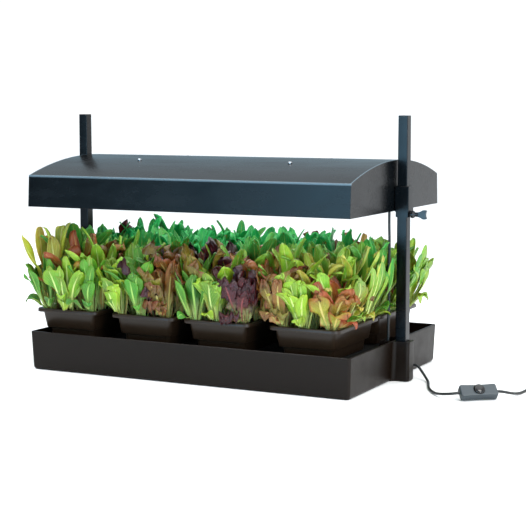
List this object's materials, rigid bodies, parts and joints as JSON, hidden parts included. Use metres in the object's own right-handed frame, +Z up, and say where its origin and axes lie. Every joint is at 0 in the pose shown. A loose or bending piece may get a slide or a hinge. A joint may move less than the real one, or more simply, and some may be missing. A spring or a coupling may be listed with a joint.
{
  "type": "tabletop grow light garden",
  "caption": "Long shallow self-watering base with growing trays under a curved lamp hood that slides on end posts and is clamped by thumb knobs.",
  "frame": {"origin": "centre of the base's footprint, on the table", "axes": "+X along the length towards the end with the mains lead, -Y the front, +Z up"},
  "size_m": [1.0741, 0.443, 0.496],
  "materials": {
    "base_plastic": "fine moulded grain, matte charcoal",
    "deck_plastic": "plain moulded black",
    "capillary_felt": "needled felt, dark grey",
    "tray_plastic": "thin vacuum-formed glossy black",
    "lettuce_leaves": "living lettuce leaves over dark compost, green with yellow-green ribs and red-brown frills",
    "post_plastic": "satin black",
    "knob_plastic": "semi-gloss black",
    "screw_steel": "zinc plated",
    "hood_plastic": "satin charcoal, fine grain",
    "lamp_white": "white powder coat",
    "reflector_aluminium": "bright anodised",
    "tube_glass": "white phosphor-coated tube with metal end caps",
    "lampholder_plastic": "white moulded",
    "clip_steel": "spring steel",
    "bolt_steel": "zinc plated pan head",
    "cord_rubber": "smooth black PVC",
    "accessory_plastic": "satin dark blue-grey",
    "button_plastic": "glossy black",
    "blade_brass": "nickel-tinted brass"
  },
  "bodies": {
    "base": {"base_tray": "base_plastic", "reservoir_deck": "deck_plastic", "capillary_mat": "capillary_felt", "post_left": "post_plastic", "post_right": "post_plastic", "hood_drop_lead": "cord_rubber", "duct_lead": "cord_rubber", "cord_gland": "cord_rubber", "mains_lead_a": "cord_rubber", "mains_lead_b": "cord_rubber", "mains_lead_coil": "cord_rubber", "switch_base": "accessory_plastic", "switch_cover": "accessory_plastic", "plug_body": "accessory_plastic", "plug_blade_left": "blade_brass", "plug_blade_right": "blade_brass"},
    "hood": {"hood_shell": "hood_plastic", "post_sleeve_left": "post_plastic", "post_sleeve_right": "post_plastic", "lamp_link_lead": "cord_rubber", "lead_junction_block": "accessory_plastic", "lamp_housing_front": "lamp_white", "lamp_housing_rear": "lamp_white", "reflector_front": "reflector_aluminium", "reflector_rear": "reflector_aluminium", "lampholder_front_right": "lampholder_plastic", "lampholder_front_left": "lampholder_plastic", "lampholder_rear_right": "lampholder_plastic", "lampholder_rear_left": "lampholder_plastic", "hood_clip_front_right": "clip_steel", "hood_clip_front_left": "clip_steel", "hood_clip_rear_right": "clip_steel", "hood_clip_rear_left": "clip_steel", "hood_bolt_front_right": "bolt_steel", "hood_bolt_front_left": "bolt_steel", "hood_bolt_rear_right": "bolt_steel", "hood_bolt_rear_left": "bolt_steel"},
    "switch_button": {"switch_button": "button_plastic"},
    "tube_front": {"t5_tube_front": "tube_glass"},
    "tube_rear": {"t5_tube_rear": "tube_glass"},
    "screw_right": {"clamp_screw_right": "screw_steel"},
    "knob_right": {"clamp_knob_right": "knob_plastic"},
    "screw_left": {"clamp_screw_left": "screw_steel"},
    "knob_left": {"clamp_knob_left": "knob_plastic"},
    "tray_front_1": {"growing_tray_front_1": "tray_plastic", "lettuce_front_1": "lettuce_leaves"},
    "tray_front_2": {"growing_tray_front_2": "tray_plastic", "lettuce_front_2": "lettuce_leaves"},
    "tray_front_3": {"growing_tray_front_3": "tray_plastic", "lettuce_front_3": "lettuce_leaves"},
    "tray_front_4": {"growing_tray_front_4": "tray_plastic", "lettuce_front_4": "lettuce_leaves"},
    "tray_rear_1": {"growing_tray_rear_1": "tray_plastic", "lettuce_rear_1": "lettuce_leaves"},
    "tray_rear_2": {"growing_tray_rear_2": "tray_plastic", "lettuce_rear_2": "lettuce_leaves"},
    "tray_rear_3": {"growing_tray_rear_3": "tray_plastic", "lettuce_rear_3": "lettuce_leaves"},
    "tray_rear_4": {"growing_tray_rear_4": "tray_plastic", "lettuce_rear_4": "lettuce_leaves"}
  },
  "joints": [
    {"name": "hood_height", "type": "slide", "parent": "base", "child": "hood", "axis": [0, 0, 1], "range_m": [-0.04, 0.12], "deforming": ["hood_drop_lead"]},
    {"name": "clamp_screw_right_travel", "type": "slide", "parent": "hood", "child": "screw_right", "axis": [1, 0, 0], "range_m": [0, 0.0016]},
    {"name": "clamp_knob_right_turn", "type": "hinge", "parent": "screw_right", "child": "knob_right", "pos_m": [0.3667, 0, 0.3135], "axis": [1, 0, 0], "range_deg": [0, 720]},
    {"name": "clamp_screw_left_travel", "type": "slide", "parent": "hood", "child": "screw_left", "axis": [-1, 0, 0], "range_m": [0, 0.0016]},
    {"name": "clamp_knob_left_turn", "type": "hinge", "parent": "screw_left", "child": "knob_left", "pos_m": [-0.3667, 0, 0.3135], "axis": [-1, 0, 0], "range_deg": [0, 720]},
    {"name": "t5_tube_front_twist", "type": "hinge", "parent": "hood", "child": "tube_front", "pos_m": [0, -0.095, 0.3565], "axis": [1, 0, 0], "range_deg": [0, 90]},
    {"name": "t5_tube_rear_twist", "type": "hinge", "parent": "hood", "child": "tube_rear", "pos_m": [0, 0.095, 0.3565], "axis": [1, 0, 0], "range_deg": [0, 90]},
    {"name": "switch_button_press", "type": "slide", "parent": "base", "child": "switch_button", "axis": [-0.4, 0.5031, -0.7661], "range_m": [0, 0.0025], "stiffness_N_per_m": 900},
    {"name": "tray_front_1_lift", "type": "slide", "parent": "base", "child": "tray_front_1", "axis": [0, 0, 1], "range_m": [0, 0.02]},
    {"name": "tray_front_2_lift", "type": "slide", "parent": "base", "child": "tray_front_2", "axis": [0, 0, 1], "range_m": [0, 0.02]},
    {"name": "tray_front_3_lift", "type": "slide", "parent": "base", "child": "tray_front_3", "axis": [0, 0, 1], "range_m": [0, 0.02]},
    {"name": "tray_front_4_lift", "type": "slide", "parent": "base", "child": "tray_front_4", "axis": [0, 0, 1], "range_m": [0, 0.02]},
    {"name": "tray_rear_1_lift", "type": "slide", "parent": "base", "child": "tray_rear_1", "axis": [0, 0, 1], "range_m": [0, 0.02]},
    {"name": "tray_rear_2_lift", "type": "slide", "parent": "base", "child": "tray_rear_2", "axis": [0, 0, 1], "range_m": [0, 0.02]},
    {"name": "tray_rear_3_lift", "type": "slide", "parent": "base", "child": "tray_rear_3", "axis": [0, 0, 1], "range_m": [0, 0.02]},
    {"name": "tray_rear_4_lift", "type": "slide", "parent": "base", "child": "tray_rear_4", "axis": [0, 0, 1], "range_m": [0, 0.02]}
  ],
  "couplings": [
    {"joint": "clamp_knob_right_turn", "follows": "clamp_screw_right_travel", "rad_per_m": 7854},
    {"joint": "clamp_knob_left_turn", "follows": "clamp_screw_left_travel", "rad_per_m": 7854}
  ]
}
